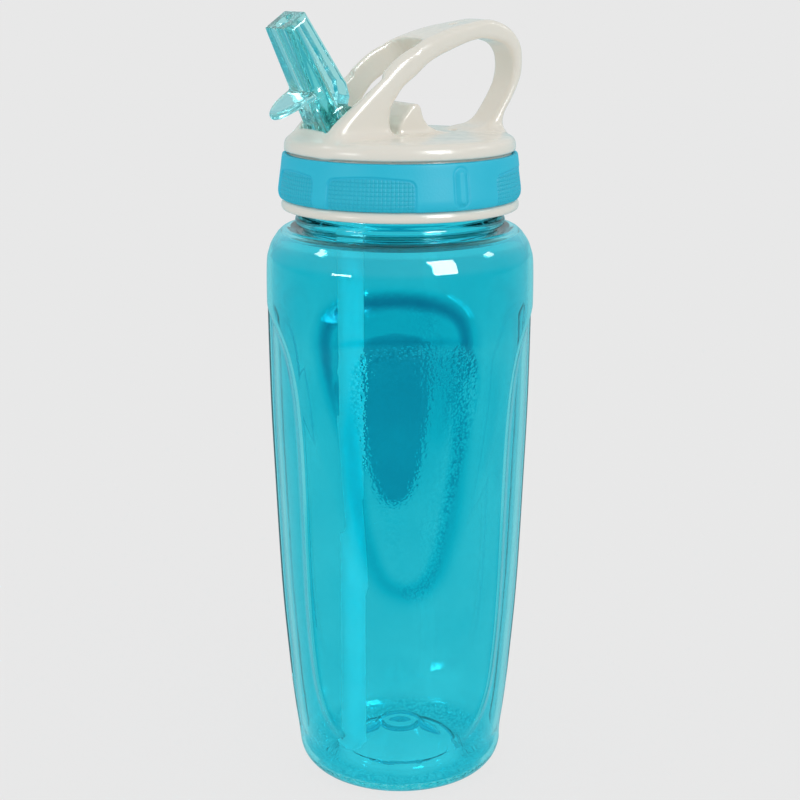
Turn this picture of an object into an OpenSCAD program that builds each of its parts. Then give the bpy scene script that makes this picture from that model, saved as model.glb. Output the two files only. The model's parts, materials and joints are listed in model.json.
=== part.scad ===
// Sports bottle with a screw lid, a carry loop and a flip-up spout over a straw.
// Origin on the bottle's axis at its base, +Z up. The spout is on the -X side.

/* [Bottle] */
// Largest radius, at the shoulder
shoulder_r = 42.3; // [41:0.1:43]
// Wall thickness of the moulded bottle
bottle_wall = 1.6; // [1.2:0.1:2]
// Height of the mouth's rim
rim_z = 203; // [202:0.5:204]
// Outer radius of the neck
neck_r = 30.5; // [30:0.1:31]
// Depth of the two flat recesses on the sides
side_depth = 1.4; // [1:0.1:2]
// Depth of the two thumb recesses
thumb_depth = 3.5; // [2.5:0.1:4]

/* [Lid] */
// Rise of the screw thread in one turn
thread_pitch = 4; // [3.5:0.1:4.5]
// Inner radius of the threaded skirt
skirt_r = 33.3; // [33.1:0.1:33.6]
// Top of the lid's flat rear ledge
ledge_z = 211; // [210.5:0.1:212]
// Half of the slot's width between the loop's two legs
slot_half = 9.6; // [9.5:0.1:10]

/* [Spout] */
// Forward lean of the open spout, in degrees
spout_lean = 27.9; // [25:0.1:30]
// Radius of the spout's round hub
hub_r = 6; // [5.8:0.1:6.1]
// Radius of the drinking bore
bore_r = 2.5; // [2:0.1:2.8]
// Radius of the spout's two pivot pins
pin_r = 2; // [1.5:0.1:2.5]

/* [Straw] */
// Outer radius of the straw
straw_r = 4.1; // [3.9:0.1:4.1]
// Wall thickness of the straw
straw_wall = 1.25; // [1:0.05:1.3]
// Height of the straw's lower end
straw_z = 8.6; // [8.5:0.1:12]

/* [Hidden] */
$fn = 64;

teal = [0.13, 0.66, 0.74];
clear_teal = [0.13, 0.66, 0.74, 0.55];
off_white = [0.88, 0.87, 0.82];
silicone = [0.93, 0.93, 0.91];

// Bottle heights
shoulder_z = 167;
moat_z = 180.3;
bead_z = 184.5;
bead_r = 33;
thread_start_z = 190.8;
rim_r = neck_r - 2.2;
panel_half_angle = 50;
panel_angle = 64;
recess_z = 23;
recess_top_z = 158;
punt_h = 11;

// Lid heights and radii
flange_z = 188.2;
band_z = 191.4;
band_top_z = 206;
band_r = 35.2;
dome_r = 36;
gasket_t = 2;
ceiling_z = rim_z + gasket_t;
hollow_z = ledge_z - 2.4;
hollow_r = 27;
patch_depth = 0.5;

// Spout pivot and the inclined seat under its hub
pivot_x = -23;
pivot_z = 215;
hub_half = 9;
pin_half = 11.6;
hub_gap = 0.35;
seat_r = 4.2;
seat_near = hub_r + 0.08;
seat_far = 10.5;
spout_len = 35;
tip_half = 8.2;
tab_z = 12;
tab_reach = 17;
sweep_r = 36.8;
slot_floor_z = 213.2;
lip_x = -30.7;
straw_x = -17.6;
nipple_z = 188.5;
nipple_flange_z = 195.5;
boss_z = 197;
spigot_z = 202.5;
vent_x = 19;

// A smooth curve through the points of p, with n steps from each point to the next
function curve(p, n = 4) = concat([for (i = [0:len(p) - 2]) for (k = [0:n - 1])
    let (t = k / n, a = p[max(i - 1, 0)], b = p[i], c = p[i + 1], d = p[min(i + 2, len(p) - 1)])
    0.5 * (2 * b + (c - a) * t + (2 * a - 5 * b + 4 * c - d) * t * t + (3 * b - a - 3 * c + d) * t * t * t)],
    [p[len(p) - 1]]);

// The same outline mirrored in its first axis, from its last point back to its first
function mirrored(p) = [for (i = [len(p) - 1:-1:0]) [p[i][0], -p[i][1]]];

// The same outline moved in towards the axis
function inset(p, by) = [for (q = p) [q[0] - by, q[1]]];

// Bottle wall from the heel up to the top of the shoulder, as radius and height
wall_curve = curve([[33.9, 8], [35.6, 20], [37.3, 36], [39.4, 63], [41, 100], [42, 130],
                    [shoulder_r, shoulder_z], [41.2, 176], [38, 181.2]], 3);

module ring(r0, r1, z0, z1) {
    translate([0, 0, z0]) difference() {
        cylinder(r = r1, h = z1 - z0);
        translate([0, 0, -1]) cylinder(r = r0, h = z1 - z0 + 2);
    }
}

// A tapered screw thread: rings of four corners swept up a helix
module thread(root_r, crest_r, z0, from_a, to_a) {
    steps = round((to_a - from_a) / 15);
    corners = [[root_r, -0.8], [crest_r, -0.4], [crest_r, 0.4], [root_r, 0.8]];
    pts = [for (i = [0:steps]) let (a = from_a + (to_a - from_a) * i / steps)
           for (c = corners) [c[0] * cos(a), c[0] * sin(a), z0 + thread_pitch * a / 360 + c[1]]];
    sides = [for (i = [0:steps - 1]) for (j = [0:3]) let (k = (j + 1) % 4)
             [4 * i + j, 4 * i + k, 4 * i + 4 + k, 4 * i + 4 + j]];
    faces = concat(sides, [[3, 2, 1, 0], [for (j = [0:3]) 4 * steps + j]]);
    inward = crest_r < root_r;
    polyhedron(pts, [for (f = faces) inward ? [for (j = [len(f) - 1:-1:0]) f[j]] : f], convexity = 10);
}

// Wedge-shaped prism on the side recesses, centred on the X axis of its own frame
module side_wedge(grow) {
    reach = 60;
    half = 90 - panel_half_angle + grow / 2;
    translate([0, 0, recess_z - grow]) linear_extrude(recess_top_z - recess_z + 2 * grow)
        polygon([[0, 0], [reach * cos(half), reach * sin(half)], [reach * 1.4, 0],
                 [reach * cos(half), -reach * sin(half)]]);
}

// Drop-shaped prism along the X axis of its own frame, wide at the top
module thumb_prism(grow) {
    half = curve([[0, 68 - grow], [11 + grow, 75], [18.2 + grow, 102], [24.5 + grow, 133],
                  [26.5 + grow, 144], [20 + grow, 152 + grow / 2], [0, 156 + grow]], 3);
    rotate([90, 0, 90]) translate([0, 0, 20]) linear_extrude(30)
        polygon(concat(half, [for (i = [len(half) - 2:-1:1]) [-half[i][0], half[i][1]]]));
}

// Solid of revolution between the wall curve moved in by two distances
module wall_band(outer, inner) {
    rotate_extrude() polygon(concat(inset(wall_curve, outer),
        [for (i = [len(wall_curve) - 1:-1:0]) [wall_curve[i][0] - inner, wall_curve[i][1]]]));
}

module side_zone(outer, inner, grow) {
    for (a = [0, 180]) intersection() {
        wall_band(outer, inner);
        rotate([0, 0, panel_angle + 90 + a]) side_wedge(grow);
    }
}

module thumb_zone(outer, inner, grow) {
    for (a = [0, 180]) intersection() {
        wall_band(outer, inner);
        rotate([0, 0, panel_angle + a]) thumb_prism(grow);
    }
}

module bottle_outside() {
    rotate_extrude() polygon(concat([[0, punt_h]],
        curve([[6, punt_h], [9, 8.6], [13, 5], [18.5, 2.6], [24, 0]], 3),
        curve([[27, 0], [32, 3], [33.9, 8]], 3),
        wall_curve, curve([[36, 182.2], [33, 181.2], [neck_r, moat_z]], 2),
        [[neck_r, bead_z - 2], [bead_r, bead_z - 1], [bead_r, bead_z + 1], [neck_r, bead_z + 2],
         [neck_r, rim_z - 0.5], [neck_r - 0.5, rim_z], [rim_r, rim_z], [0, rim_z]]));
}

module bottle_inside() {
    w = bottle_wall;
    rotate_extrude() polygon(concat([[0, punt_h + w]],
        curve([[6.4, punt_h + w], [9.6, 8.6 + w], [13.4, 5 + w], [18.7, 2.6 + w], [24.5, w]], 3),
        [[27, w], [31, 4.4]],
        [for (q = wall_curve) if (q[1] < 178) [q[0] - w, q[1] - (q[1] > 172 ? 1 : 0)]],
        [[34, 179.2], [rim_r, 177.6], [rim_r, rim_z + 1], [0, rim_z + 1]]));
}

module bottle_body() {
    w = bottle_wall;
    color(clear_teal) difference() {
        union() {
            difference() {
                bottle_outside();
                side_zone(-3, side_depth, 0);
                thumb_zone(-3, thumb_depth, 0);
            }
            thread(neck_r - 0.6, neck_r + 1.6, thread_start_z, 0, 720);
        }
        difference() {
            bottle_inside();
            side_zone(w - 1, side_depth + w, 1.7);
            thumb_zone(w - 1, thumb_depth + w, 1);
        }
    }
}

module lid_cup() {
    rotate_extrude() polygon(concat(
        [[skirt_r, flange_z], [37, flange_z], [37.2, flange_z + 1], [36.3, band_z], [band_r, band_z],
         [band_r, band_top_z + 0.2], [dome_r, band_top_z + 0.2], [dome_r, 209], [35.2, 210.3],
         [33.6, ledge_z], [0, ledge_z + 0.4], [0, hollow_z], [hollow_r, hollow_z],
         [hollow_r, ceiling_z], [skirt_r, ceiling_z]]));
}

// Rounded front of the lid, from the rim up to the lip in front of the spout
module lid_hump() {
    intersection() {
        rotate_extrude() polygon([[0, 206], [34, 206], [35.2, 210.3], [33.6, 211.5], [31.4, 214.6],
                                  [30, 215.8], [26, 217.6], [18, 219.4], [0, 220.5]]);
        translate([-40, -24, 206]) cube([30.5, 48, 20]);
    }
}

module lid_boss() {
    intersection() {
        translate([-32, -12, ceiling_z]) cube([21, 24, 10]);
        cylinder(r = dome_r - 2, h = 230);
    }
    translate([straw_x, 0, boss_z]) cylinder(r = 7.6, h = ceiling_z + 4 - boss_z);
    translate([vent_x, 0, hollow_z - 1.6]) cylinder(r = 3.2, h = 3);
}

// Side outline of the loop, outer edge then inner edge
loop_outer = curve([[-30, 209], [-30, 216], [-21.4, 222.3], [-13, 229.4], [-6.4, 235], [0, 238.5], [7, 241.2],
                    [14, 243.2], [21.6, 244.6], [29, 245.4], [35.9, 243.1], [41, 235.5], [40.3, 226.3],
                    [34.5, 215.6], [33.5, 208.5]], 4);
loop_inner = curve([[23, 208.5], [27.5, 212.5], [34.4, 221], [37.8, 230], [35.5, 237.4], [24.2, 239.4],
                    [12.2, 236.1], [0.1, 229.2], [-7.2, 222.6], [-9.4, 217.4], [-9.1, 208.5]], 4);
// Half widths of the loop seen from above, from front to back
loop_half = curve([[-36, 14.5], [-20, 13.4], [-5, 12.4], [5, 11.5], [12, 10.2], [22, 8], [31, 6.6],
                   [43, 6.4]], 3);

module carry_loop() {
    intersection() {
        rotate([90, 0, 0]) translate([0, 0, -20]) linear_extrude(40) polygon(concat(loop_outer, loop_inner));
        translate([0, 0, 205]) linear_extrude(45)
            polygon(concat(loop_half, mirrored(loop_half)));
    }
}

// Raised rest behind the spout's slot
module rest_block() {
    rotate([90, 0, 0]) translate([0, 0, -8.5]) linear_extrude(17)
        polygon([[-5.3, 209.5], [-5, 214.3], [-3, 217.6], [-0.5, 220.3], [2.3, 220.7], [3.8, 216.4],
                 [5.5, 214], [8.7, 212.3], [12.9, 211.2], [12.9, 209.5]]);
}

// Turns children from the spout's own frame, pivot at the origin, to its open place
module at_spout() { translate([pivot_x, 0, pivot_z]) rotate([0, -spout_lean, 0]) children(); }

// A bar of radius r along Y through the origin
module bar(r, half) { rotate([90, 0, 0]) translate([0, 0, -half]) cylinder(r = r, h = 2 * half); }

// Half of the slot seen from above
slot_plan = [[-50, slot_half], [-13, slot_half - 0.2], [14, slot_half - 1]];

module spout_slot() {
    intersection() {
        translate([pivot_x, 0, pivot_z]) bar(sweep_r, 12);
        translate([0, 0, 210]) linear_extrude(44)
            polygon(concat(slot_plan, mirrored(slot_plan)));
        rotate([90, 0, 0]) translate([0, 0, -12]) linear_extrude(24)
            polygon([[pivot_x + hub_r - 1, slot_floor_z], [20, slot_floor_z], [20, 260], [-60, 260],
                     [-60, 252], [lip_x, 216.3], [lip_x + 1.3, 212.5]]);
    }
}

module lid_shell() {
    color(off_white) difference() {
        union() {
            difference() {
                union() {
                    lid_cup();
                    lid_hump();
                    lid_boss();
                    carry_loop();
                }
                spout_slot();
                translate([-9.2, -slot_half, ledge_z]) cube([4, 2 * slot_half, 20]);
            }
            rest_block();
            thread(skirt_r + 0.6, skirt_r - 2.1, thread_start_z - thread_pitch / 2, 180, 720);
        }
        translate([pivot_x, 0, pivot_z]) bar(hub_r + hub_gap, slot_half);
        translate([pivot_x, 0, pivot_z]) bar(pin_r + 0.05, pin_half + 0.2);
        at_spout() translate([0, 0, -seat_far]) cylinder(r = seat_r + 0.05, h = seat_far);
        at_spout() translate([0, 0, -seat_far - 3]) cylinder(r = bore_r, h = 6);
        translate([straw_x, 0, boss_z - 1]) cylinder(r = 4.25, h = spigot_z - boss_z + 1);
        translate([vent_x, 0, 200]) cylinder(r = 1, h = 20);
    }
}

module arch_prism(half, side_h, top_h) {
    rotate([90, 0, 90]) translate([0, 0, 30]) linear_extrude(12)
        polygon(concat([[-half, -2]], curve([[-half, side_h], [-half * 0.6, top_h - 0.8], [0, top_h],
                [half * 0.6, top_h - 0.8], [half, side_h]], 4), [[half, -2]]));
}

module band_profile(inner, outer) {
    skin = curve([[37.2, band_z + 0.1], [38.1, band_z + 1.8], [38.1, band_z + 4], [37.2, band_z + 10],
                  [36.6, band_top_z]], 3);
    rotate_extrude() polygon(concat([[inner, band_z + 0.1]], inset(skin, outer), [[inner, band_top_z]]));
}

module grip_band() {
    color(teal) {
        difference() {
            band_profile(band_r + 0.05, 0);
            intersection() {
                difference() {
                    band_profile(band_r + 0.05, -1);
                    band_profile(band_r - 1, patch_depth);
                }
                union() for (a = [47, 133, 227, 313, 0, 180]) rotate([0, 0, a])
                    translate([0, 0, band_z]) arch_prism(13.4, 7.4, 10.4);
            }
        }
        for (a = [90, 270]) rotate([0, 0, a]) translate([36.6, -2.8, 193.5]) cube([1.9, 5.6, 9.5]);
    }
}

module lid_gasket() { color(silicone) ring(rim_r + 0.3, skirt_r - 0.5, rim_z, ceiling_z); }

module spout() {
    side = [[-hub_r, 0], [-5.72, 4.2], [-3.5, 34.3], [4.7, 35.5], [6.6, 11], [5.6, 7], [3.4, 4.6], [0, 0]];
    front = [[-hub_half, -1], [-hub_half, 6], [-tip_half, spout_len + 2], [tip_half, spout_len + 2],
             [hub_half, 6], [hub_half, -1]];
    tab = [for (a = [-90:15:90]) [-4 - (tab_reach - 4) * cos(a), 8.7 * sin(a)]];
    color(clear_teal) at_spout() difference() {
        union() {
            intersection() {
                rotate([90, 0, 0]) translate([0, 0, -10]) linear_extrude(20) polygon(side);
                rotate([90, 0, 90]) translate([0, 0, -10]) linear_extrude(20) polygon(front);
            }
            bar(hub_r, hub_half);
            bar(pin_r, pin_half);
            translate([0, 0, tab_z]) linear_extrude(2) polygon(tab);
        }
        translate([0, 0, -10]) cylinder(r = bore_r, h = 60);
    }
}

module spout_seal() {
    color(silicone) difference() {
        at_spout() translate([0, 0, -seat_far]) cylinder(r = seat_r, h = seat_far - 3);
        translate([pivot_x, 0, pivot_z]) bar(seat_near, 12);
        at_spout() translate([0, 0, -20]) cylinder(r = bore_r, h = 20);
    }
}

module straw_nipple() {
    color(silicone) translate([straw_x, 0, 0]) difference() {
        union() {
            translate([0, 0, nipple_z]) cylinder(r = 5.6, h = nipple_flange_z - nipple_z);
            translate([0, 0, nipple_flange_z]) cylinder(r = 6.6, h = boss_z - nipple_flange_z);
            translate([0, 0, boss_z]) cylinder(r = 4.2, h = spigot_z - boss_z);
        }
        translate([0, 0, nipple_z - 1]) cylinder(r = straw_r, h = 6);
        translate([0, 0, nipple_z]) cylinder(r = straw_r - straw_wall, h = 20);
    }
}

module straw() {
    color(clear_teal) translate([straw_x, 0, 0]) ring(straw_r - straw_wall, straw_r, straw_z, nipple_z + 5);
}

module vent_valve() {
    color(silicone) translate([vent_x, 0, 0]) {
        translate([0, 0, hollow_z - 2.8]) cylinder(r = 4.4, h = 1.2);
        translate([0, 0, hollow_z - 1.6]) cylinder(r = 0.9, h = 3.6);
    }
}

bottle_body();
lid_shell();
grip_band();
lid_gasket();
spout();
spout_seal();
straw_nipple();
straw();
vent_valve();
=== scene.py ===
"""The looks of a clear teal sports bottle with a screw lid, a carry loop and a flip-up spout.

Shapes are worked out in millimetres in the CAD frame and made into meshes in metres.
The lid and the spout are distance fields meshed by surface_net(); the bottle, the grip
band and the straw are grids of points over height and angle.
"""

import json
import math

import bpy
import numpy as np
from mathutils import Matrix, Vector


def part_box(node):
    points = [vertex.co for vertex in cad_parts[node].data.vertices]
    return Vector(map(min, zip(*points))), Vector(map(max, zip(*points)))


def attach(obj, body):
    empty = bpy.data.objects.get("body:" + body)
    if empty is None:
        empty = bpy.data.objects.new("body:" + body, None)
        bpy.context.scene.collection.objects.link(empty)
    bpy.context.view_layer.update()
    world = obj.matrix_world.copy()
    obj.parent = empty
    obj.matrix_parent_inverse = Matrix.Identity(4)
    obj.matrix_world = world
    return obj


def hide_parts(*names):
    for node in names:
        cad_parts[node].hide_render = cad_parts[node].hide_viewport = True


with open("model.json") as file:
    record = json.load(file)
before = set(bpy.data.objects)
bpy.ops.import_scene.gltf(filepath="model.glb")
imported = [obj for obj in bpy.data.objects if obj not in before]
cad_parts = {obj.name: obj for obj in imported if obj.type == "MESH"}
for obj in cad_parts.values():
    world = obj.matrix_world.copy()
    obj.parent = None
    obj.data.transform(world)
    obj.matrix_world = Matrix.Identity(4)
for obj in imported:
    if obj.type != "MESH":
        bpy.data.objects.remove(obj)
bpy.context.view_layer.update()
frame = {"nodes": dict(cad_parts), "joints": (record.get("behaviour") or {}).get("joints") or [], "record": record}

MM = 0.001


# ---------------------------------------------------------------- sizes taken from the frame, in mm
def cad(node):
    """The lowest and the highest corner of a CAD piece."""
    low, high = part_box(node)
    return np.array(low) / MM, np.array(high) / MM


SHOULDER_R = cad("bottle_body")[1][1]
RIM_Z = cad("bottle_body")[1][2]
FLANGE_Z = cad("lid_shell")[0][2]
BAND_Z, BAND_TOP = cad("grip_band")[0][2], cad("grip_band")[1][2]
STRAW_LOW, STRAW_HIGH = cad("straw")
STRAW_R = (STRAW_HIGH[1] - STRAW_LOW[1]) / 2
STRAW_X = (STRAW_LOW[0] + STRAW_HIGH[0]) / 2
FLIP = next(j for j in frame["joints"] if j["name"] == "spout_flip")
PIVOT = np.array(FLIP["pos_m"]) / MM
PITCH = frame["record"]["behaviour"]["couplings"][0]["ratio"] * 2 * math.pi / MM


# ---------------------------------------------------------------- mesh helpers
def mesh_object(name, verts, faces, smooth=True):
    """A mesh object from points in mm."""
    data = bpy.data.meshes.new(name)
    data.from_pydata((np.asarray(verts, float) * MM).tolist(), [], [list(map(int, f)) for f in faces])
    data.validate()
    data.update()
    data.polygons.foreach_set("use_smooth", [smooth] * len(data.polygons))
    obj = bpy.data.objects.new(name, data)
    bpy.context.scene.collection.objects.link(obj)
    return obj


def point_mask(obj, name, values):
    """A named value from 0 to 1 on every vertex, for the materials."""
    layer = obj.data.attributes.new(name, "FLOAT", "POINT")
    layer.data.foreach_set("value", np.asarray(values, np.float32).ravel())


def grid_faces(rings, around, closed):
    """Quads between rings of points; closed joins the last ring to the first."""
    last = rings if closed else rings - 1
    i = np.arange(last)[:, None]
    j = np.arange(around)[None, :]
    a = i * around + j
    b = i * around + (j + 1) % around
    c = ((i + 1) % rings) * around + (j + 1) % around
    d = ((i + 1) % rings) * around + j
    return np.stack([a, b, c, d], -1).reshape(-1, 4)


def curve(points, n=8):
    """A smooth curve through points, with n steps between each pair."""
    p = np.array(points, float)
    rows = []
    for i in range(len(p) - 1):
        a, b, c, d = p[max(i - 1, 0)], p[i], p[i + 1], p[min(i + 2, len(p) - 1)]
        for t in np.arange(n) / n:
            rows.append(0.5 * (2 * b + (c - a) * t + (2 * a - 5 * b + 4 * c - d) * t**2
                               + (3 * b - a - 3 * c + d) * t**3))
    rows.append(p[-1])
    return np.array(rows)


def even(points, step):
    """The same line with points about step apart."""
    p = np.asarray(points, float)
    s = np.concatenate([[0], np.cumsum(np.linalg.norm(np.diff(p, axis=0), axis=1))])
    t = np.linspace(0, s[-1], max(2, int(s[-1] / step) + 1))
    return np.stack([np.interp(t, s, p[:, k]) for k in range(p.shape[1])], -1)


def ramp(x, low, high):
    """0 below low, 1 above high, smooth between."""
    t = np.clip((x - low) / (high - low), 0, 1)
    return t * t * (3 - 2 * t)


def smin(a, b, k):
    """The union of two fields, blended over a width k."""
    h = np.clip(0.5 + 0.5 * (b - a) / k, 0, 1)
    return b * (1 - h) + a * h - k * h * (1 - h)


def smax(a, b, k):
    """Where both fields are inside, blended over a width k."""
    return -smin(-a, -b, k)


def round_and(a, b, r):
    """Where both fields are inside, with the edge between them rounded to radius r."""
    return np.hypot(np.maximum(a + r, 0), np.maximum(b + r, 0)) + np.minimum(np.maximum(a, b) + r, 0) - r


def polygon_field(x, y, points):
    """Signed distance from x, y to a closed outline, negative inside."""
    p = np.asarray(points, float)
    x, y = np.broadcast_arrays(np.asarray(x, float), np.asarray(y, float))
    best = np.full(x.shape, 1e9)
    inside = np.zeros(x.shape, bool)
    for a, b in zip(p, np.roll(p, -1, axis=0)):
        e = b - a
        length = max(e @ e, 1e-12)
        t = np.clip(((x - a[0]) * e[0] + (y - a[1]) * e[1]) / length, 0, 1)
        best = np.minimum(best, (x - a[0] - t * e[0]) ** 2 + (y - a[1] - t * e[1]) ** 2)
        if a[1] != b[1]:
            crosses = (a[1] > y) != (b[1] > y)
            inside ^= crosses & (x < (b[0] - a[0]) * (y - a[1]) / (b[1] - a[1]) + a[0])
    return np.where(inside, -1, 1) * np.sqrt(best)


class Field:
    """A box of sample points for distance fields."""

    def __init__(self, low, high, step):
        self.low, self.step = np.array(low, float), step
        count = [int(round((h - l) / step)) + 1 for l, h in zip(low, high)]
        self.x, self.y, self.z = (l + step * np.arange(n) for l, n in zip(low, count))
        self.X, self.Y, self.Z = self.x[:, None, None], self.y[None, :, None], self.z[None, None, :]
        self.R = np.hypot(self.X, self.Y)

    def turned(self, outline):
        """The field of an outline in radius and height, turned about Z."""
        fine = 0.25
        r = np.arange(0, self.R.max() + 2 * fine, fine)
        table = polygon_field(r[:, None], self.z[None, :], outline)
        k = self.R[:, :, 0] / fine
        i = k.astype(int)
        f = (k - i)[:, :, None]
        return table[i] * (1 - f) + table[i + 1] * f

    def side(self, outline):
        """The field of an outline in X and Z, endless along Y."""
        return polygon_field(self.x[:, None], self.z[None, :], outline)[:, None, :]

    def plan(self, outline):
        """The field of an outline in X and Y, endless along Z."""
        return polygon_field(self.x[:, None], self.y[None, :], outline)[:, :, None]

    def softened(self, f, passes):
        """The field blurred a little, which rounds every edge."""
        for _ in range(passes):
            for axis in range(3):
                last = f.shape[axis] - 1
                lower = np.take(f, [0, *range(last)], axis)
                upper = np.take(f, [*range(1, last + 1), last], axis)
                f = 0.25 * lower + 0.5 * f + 0.25 * upper
        return f

    def surface_net(self, f):
        """Points and quads of the surface where the field is zero."""
        inside = f < 0
        corners = [(i, j, k) for i in (0, 1) for j in (0, 1) for k in (0, 1)]
        cells = tuple(n - 1 for n in f.shape)
        part = [slice(0, -1), slice(1, None)]
        total = sum(inside[part[i], part[j], part[k]].astype(np.int8) for i, j, k in corners)
        at = np.argwhere((total > 0) & (total < len(corners)))
        index = np.full(cells, -1)
        index[tuple(at.T)] = np.arange(len(at))
        sums, count = np.zeros((len(at), 3)), np.zeros(len(at))
        for a in corners:
            for axis in range(3):
                if a[axis]:
                    continue
                b = tuple(1 if k == axis else a[k] for k in range(3))
                fa, fb = f[tuple((at + a).T)], f[tuple((at + b).T)]
                cut = (fa < 0) != (fb < 0)
                t = np.where(cut, fa / np.where(cut, fa - fb, 1), 0)
                point = np.array(a, float) + t[:, None] * (np.array(b) - np.array(a))
                sums += np.where(cut[:, None], point, 0)
                count += cut
        verts = at + sums / count[:, None]
        quads = []
        for axis in range(3):
            u, v = (axis + 1) % 3, (axis + 2) % 3
            lower = [slice(None)] * 3
            upper = [slice(None)] * 3
            lower[axis], upper[axis] = part
            edges = np.argwhere(inside[tuple(lower)] != inside[tuple(upper)])
            low_side = (edges[:, u] > 0) & (edges[:, v] > 0)
            high_side = (edges[:, u] < cells[u]) & (edges[:, v] < cells[v])
            edges = edges[low_side & high_side]
            du, dv = np.eye(3, dtype=int)[u], np.eye(3, dtype=int)[v]
            around = (edges, edges - du, edges - du - dv, edges - dv)
            q = np.stack([index[tuple(cell.T)] for cell in around], -1)
            flip = ~inside[tuple(edges.T)]
            q[flip] = q[flip][:, ::-1]
            quads.append(q)
        verts = self.settled(f, verts)
        return verts * self.step + self.low, np.concatenate(quads)

    def sample(self, f, v):
        """The field at points given in cells."""
        i = np.clip(v.astype(int), 0, np.array(f.shape) - 2)
        t = v - i
        out = 0
        for a in [(i0, j0, k0) for i0 in (0, 1) for j0 in (0, 1) for k0 in (0, 1)]:
            w = np.prod([t[:, k] if a[k] else 1 - t[:, k] for k in range(3)], axis=0)
            out = out + w * f[tuple((i + a).T)]
        return out

    def slope(self, f, v):
        """The field's slope along each axis at points given in cells."""
        h = 0.35
        rows = [(self.sample(f, v + h * e) - self.sample(f, v - h * e)) / (2 * h) for e in np.eye(3)]
        return np.stack(rows, -1)

    def settled(self, f, v):
        """The points moved onto the zero surface with two Newton steps, each half a cell at most."""
        for _ in range(2):
            g = self.slope(f, v)
            move = -self.sample(f, v)[:, None] * g / np.maximum((g * g).sum(1), 1e-3)[:, None]
            v = v + np.clip(move, -0.5, 0.5)
        return v


# ---------------------------------------------------------------- the bottle
# Directions are in degrees from +X: one drop recess is at PANEL_AZ and the other is opposite it.
# HAIR is the least distance kept from the axis and between two points of the inside.
PANEL_AZ = 64
BELLY_R = 41
BELLY_TOP = 178
SIDE_R = 40
SIDE_DEPTH = 1.45
THUMB_DEPTH = 4
PEBBLE_DEPTH = 0.05
PUNT_H = 11
WALL = 1.6
NECK_R = 30.5
MOUTH_R = 28.3
BEAD_R = 33
BEAD_LOW, BEAD_HIGH = 182, 187.2
THREAD_Z = 190.8
THREAD_TURNS = 2
THREAD_H = 1.6
HAIR = 0.02
BELLY = [[33.9, 8], [35.6, 20], [37.3, 36], [39.4, 63], [41, 100], [42, 130], [SHOULDER_R - 0.03, 167],
         [41.2, 176], [38.6, 180.6]]


def bottle_outline():
    """Radius and height of the outside, from the middle of the base to the mouth."""
    punt = curve([[HAIR, PUNT_H], [5.2, PUNT_H], [6.4, PUNT_H + 0.7], [7.6, PUNT_H - 0.6], [10, 8.2],
                  [13.8, 5.4], [16.4, 4.7], [17.6, 4.7], [18.8, 3.1], [22.5, 0.5], [25.5, 0]], 8)
    heel = curve([[25.5, 0], [30, 1.5], [32.8, 4.6], [33.9, 8]], 8)
    belly = curve(BELLY, 10)
    moat = curve([[38.6, 180.6], [36.6, 182.2], [34, 182], [32, 180.8], [30.9, 180.6],
                  [NECK_R, BEAD_LOW]], 6)
    bead = curve([[NECK_R, BEAD_LOW], [31, 182.8], [32.6, 183.5], [BEAD_R, 184.6], [32.6, 185.7],
                  [31, 186.4], [NECK_R, BEAD_HIGH]], 5)
    neck = [[NECK_R, BEAD_HIGH], [NECK_R, RIM_Z - 1]]
    lip = [[NECK_R, RIM_Z - 1], [NECK_R - 0.3, RIM_Z - 0.3], [NECK_R - 1, RIM_Z],
           [MOUTH_R + 0.6, RIM_Z], [MOUTH_R, RIM_Z - 0.6]]
    parts = [even(punt, 0.8), even(heel, 0.7), even(belly, 0.8), even(moat, 0.5), even(bead, 0.35),
             even(neck, 0.25), np.array(lip)]
    return np.concatenate([parts[0]] + [p[1:] for p in parts[1:]])


# Outline of half a recessed side: distance round the bottle from the side's middle, and height
SIDE_EDGE = [[0, 158.5], [11, 156.5], [20, 150], [25.5, 139], [28.2, 122], [28.6, 100], [28.4, 70],
             [28.8, 48], [30.5, 34], [36.5, 24], [46, 20.5], [62, 20]]
# Half outlines of the drop on each panel, as distance from its middle and height: its edge, the
# pebbled part, and the flat floor
DROP_EDGE = [[0, 66], [9, 68.5], [16, 80], [22, 99], [27.5, 118], [30.6, 129], [31.4, 137],
             [30, 144.5], [25.5, 150.5], [16, 154.6], [0, 156]]
DROP_PEBBLED = [[0, 70], [5, 73], [8.8, 85], [11.8, 98], [15.5, 111], [18.6, 124], [20.6, 136],
                [19, 146], [12, 152], [0, 153.5]]
DROP_FLOOR = [[0, 77], [5, 79.5], [9, 88], [12, 100], [14.2, 115], [14.8, 128], [13.4, 136.5], [0, 140]]
# The pebbled part sits a few degrees round from the drop's middle
PEBBLE_TURN = 4


def inside_side(angle, z):
    """How far inside the nearest recessed side a point is, in mm."""
    s = np.abs((angle - PANEL_AZ) % 180 - 90) * np.pi / 180 * SIDE_R
    outline = np.concatenate([curve(SIDE_EDGE, 6), [[62, -10], [-1, -10], [-1, 158.5]]])
    return -polygon_field(s, z, outline)


def inside_drop(angle, z, half):
    """How far inside the nearest panel's drop-shaped outline a point is, in mm."""
    off = np.abs((angle - PANEL_AZ + 90) % 180 - 90)
    across = BELLY_R * np.sin(np.radians(off)) + 0.12 * np.maximum(off - 50, 0)
    line = curve(half, 6)
    outline = np.concatenate([line, [[-60, line[-1][1]], [-60, line[0][1]]]])
    return -polygon_field(across, z, outline)


def bell(x, width):
    """1 where x is 0, fading out smoothly on both sides."""
    return np.exp(-(x / width) ** 2)


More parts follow.
